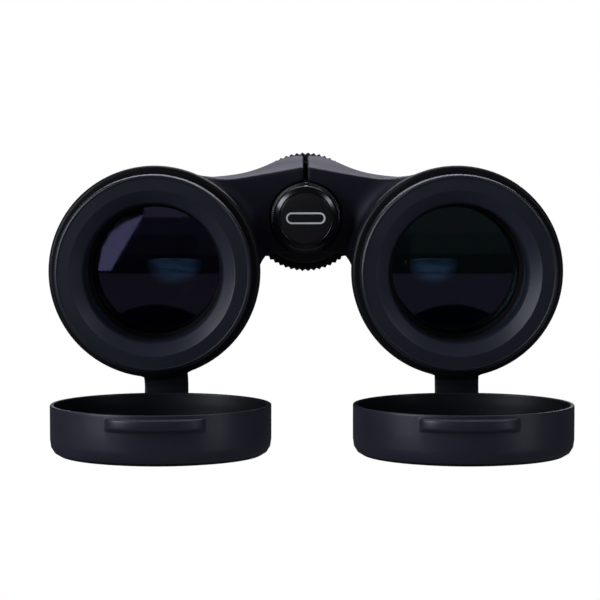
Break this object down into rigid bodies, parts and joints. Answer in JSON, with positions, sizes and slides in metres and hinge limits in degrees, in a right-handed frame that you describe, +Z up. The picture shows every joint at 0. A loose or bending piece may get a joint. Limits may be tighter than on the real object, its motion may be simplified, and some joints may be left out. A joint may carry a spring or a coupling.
{
  "type": "binoculars",
  "caption": "Compact roof-prism binoculars with a folding central hinge, focus wheel, twist-up eyecups, dioptre ring and flip-down objective caps shown open",
  "frame": {"origin": "centre of the hub cap's front face, on the central hinge axis", "axes": "+Y runs from the objectives to the eyepieces, +Z up, +X the left barrel's side; left and right are the user's"},
  "size_m": [0.1306, 0.1688, 0.0699],
  "materials": {
    "armour_rubber": "matte, fine speckled grain",
    "soft_rubber": "soft matte",
    "seal_rubber": "matte",
    "black_plastic": "satin",
    "satin_plastic": "smooth satin",
    "black_metal": "black anodised, satin",
    "steel": "turned",
    "brass": "turned",
    "magnesium_casting": "bead blasted casting",
    "coated_glass": "violet-blue anti-reflection coating",
    "clear_glass": "polished"
  },
  "bodies": {
    "right_barrel": {"right_housing": "magnesium_casting", "right_armour": "armour_rubber", "right_objective_bezel": "black_plastic", "right_objective_cell": "black_metal", "right_objective_crown": "coated_glass", "right_objective_flint": "clear_glass", "right_objective_retainer": "black_metal", "right_objective_seal": "seal_rubber", "right_prism_cage": "black_plastic", "right_helper_prism": "clear_glass", "right_roof_prism": "clear_glass", "right_ocular_tube": "black_metal", "right_strap_lug": "black_metal", "hinge_axle": "steel", "tripod_insert": "steel", "hinge_washer": "steel", "hinge_end_cap": "black_metal"},
    "left_barrel": {"left_housing": "magnesium_casting", "left_armour": "armour_rubber", "left_objective_bezel": "black_plastic", "left_objective_cell": "black_metal", "left_objective_crown": "coated_glass", "left_objective_flint": "clear_glass", "left_objective_retainer": "black_metal", "left_objective_seal": "seal_rubber", "left_prism_cage": "black_plastic", "left_helper_prism": "clear_glass", "left_roof_prism": "clear_glass", "left_ocular_tube": "black_metal", "left_strap_lug": "black_metal", "left_eyepiece_collar": "soft_rubber", "left_ocular_cell": "black_metal", "left_field_lens": "clear_glass", "left_eye_lens": "coated_glass"},
    "hub_cap": {"hub_cap": "black_metal"},
    "focus_wheel": {"focus_wheel_core": "black_plastic", "focus_wheel_grip": "armour_rubber", "focus_screw": "brass"},
    "diopter_ring": {"right_diopter_ring": "soft_rubber"},
    "right_ocular": {"right_ocular_cell": "black_metal", "right_field_lens": "clear_glass", "right_eye_lens": "coated_glass"},
    "right_focus_carriage": {"right_focus_arm": "brass", "right_focus_cell": "black_metal", "right_focus_lens": "coated_glass"},
    "right_tether": {"right_tether_ring": "soft_rubber"},
    "right_cap": {"right_objective_cap": "satin_plastic"},
    "right_sleeve": {"right_eyecup_sleeve": "black_plastic"},
    "right_eyecup": {"right_eyecup": "black_plastic", "right_eyecup_rubber": "soft_rubber"},
    "left_focus_carriage": {"left_focus_arm": "brass", "left_focus_cell": "black_metal", "left_focus_lens": "coated_glass"},
    "left_tether": {"left_tether_ring": "soft_rubber"},
    "left_cap": {"left_objective_cap": "satin_plastic"},
    "left_sleeve": {"left_eyecup_sleeve": "black_plastic"},
    "left_eyecup": {"left_eyecup": "black_plastic", "left_eyecup_rubber": "soft_rubber"}
  },
  "joints": [
    {"name": "fold", "type": "hinge", "parent": "right_barrel", "child": "left_barrel", "pos_m": [0, 0.025, 0], "axis": [0, -1, 0], "range_deg": [-50, 3]},
    {"name": "hub_cap_off", "type": "slide", "parent": "right_barrel", "child": "hub_cap", "axis": [0, -1, 0], "range_m": [0, 0.012]},
    {"name": "focus_turn", "type": "hinge", "parent": "right_barrel", "child": "focus_wheel", "pos_m": [0, 0.0535, 0], "axis": [0, 1, 0], "range_deg": [-270, 270]},
    {"name": "right_focus_slide", "type": "slide", "parent": "right_barrel", "child": "right_focus_carriage", "axis": [0, 1, 0], "range_m": [-0.0025, 0.0025]},
    {"name": "left_focus_slide", "type": "slide", "parent": "left_barrel", "child": "left_focus_carriage", "axis": [0, 1, 0], "range_m": [-0.0025, 0.0025]},
    {"name": "diopter_turn", "type": "hinge", "parent": "right_barrel", "child": "diopter_ring", "pos_m": [-0.037, 0.0755, -0.0127], "axis": [0, 1, 0], "range_deg": [-40, 40]},
    {"name": "right_ocular_slide", "type": "slide", "parent": "right_barrel", "child": "right_ocular", "axis": [0, 1, 0], "range_m": [-0.0012, 0.0012]},
    {"name": "right_ring_turn", "type": "hinge", "parent": "right_barrel", "child": "right_tether", "pos_m": [-0.037, -0.0094, -0.0127], "axis": [0, -1, 0], "range_deg": [-15, 15]},
    {"name": "left_ring_turn", "type": "hinge", "parent": "left_barrel", "child": "left_tether", "pos_m": [0.037, -0.0094, -0.0127], "axis": [0, -1, 0], "range_deg": [-3, 50]},
    {"name": "right_cap_flip", "type": "hinge", "parent": "right_tether", "child": "right_cap", "pos_m": [-0.03414, -0.00962, -0.03993], "axis": [0.9973, 0.0523, 0.0523], "range_deg": [-90.16, 90], "stiffness_Nm_per_rad": 0.05},
    {"name": "right_eyecup_turn", "type": "hinge", "parent": "right_barrel", "child": "right_sleeve", "pos_m": [-0.037, 0.089, -0.0127], "axis": [0, 1, 0], "range_deg": [0, 120]},
    {"name": "right_eyecup_rise", "type": "slide", "parent": "right_sleeve", "child": "right_eyecup", "axis": [0, 1, 0], "range_m": [0, 0.008]},
    {"name": "left_cap_flip", "type": "hinge", "parent": "left_tether", "child": "left_cap", "pos_m": [0.037, -0.0097, -0.04], "axis": [1, 0, 0], "range_deg": [-90, 90], "stiffness_Nm_per_rad": 0.05},
    {"name": "left_eyecup_turn", "type": "hinge", "parent": "left_barrel", "child": "left_sleeve", "pos_m": [0.037, 0.089, -0.0127], "axis": [0, 1, 0], "range_deg": [0, 120]},
    {"name": "left_eyecup_rise", "type": "slide", "parent": "left_sleeve", "child": "left_eyecup", "axis": [0, 1, 0], "range_m": [0, 0.008]}
  ],
  "couplings": [
    {"joint": "right_focus_slide", "follows": "focus_turn", "m_per_rad": 0.00053},
    {"joint": "left_focus_slide", "follows": "focus_turn", "m_per_rad": 0.00053},
    {"joint": "right_ocular_slide", "follows": "diopter_turn", "m_per_rad": 0.0017},
    {"joint": "left_ring_turn", "follows": "fold", "ratio": -1},
    {"joint": "right_eyecup_rise", "follows": "right_eyecup_turn", "m_per_rad": 0.00381},
    {"joint": "left_eyecup_rise", "follows": "left_eyecup_turn", "m_per_rad": 0.00381}
  ]
}
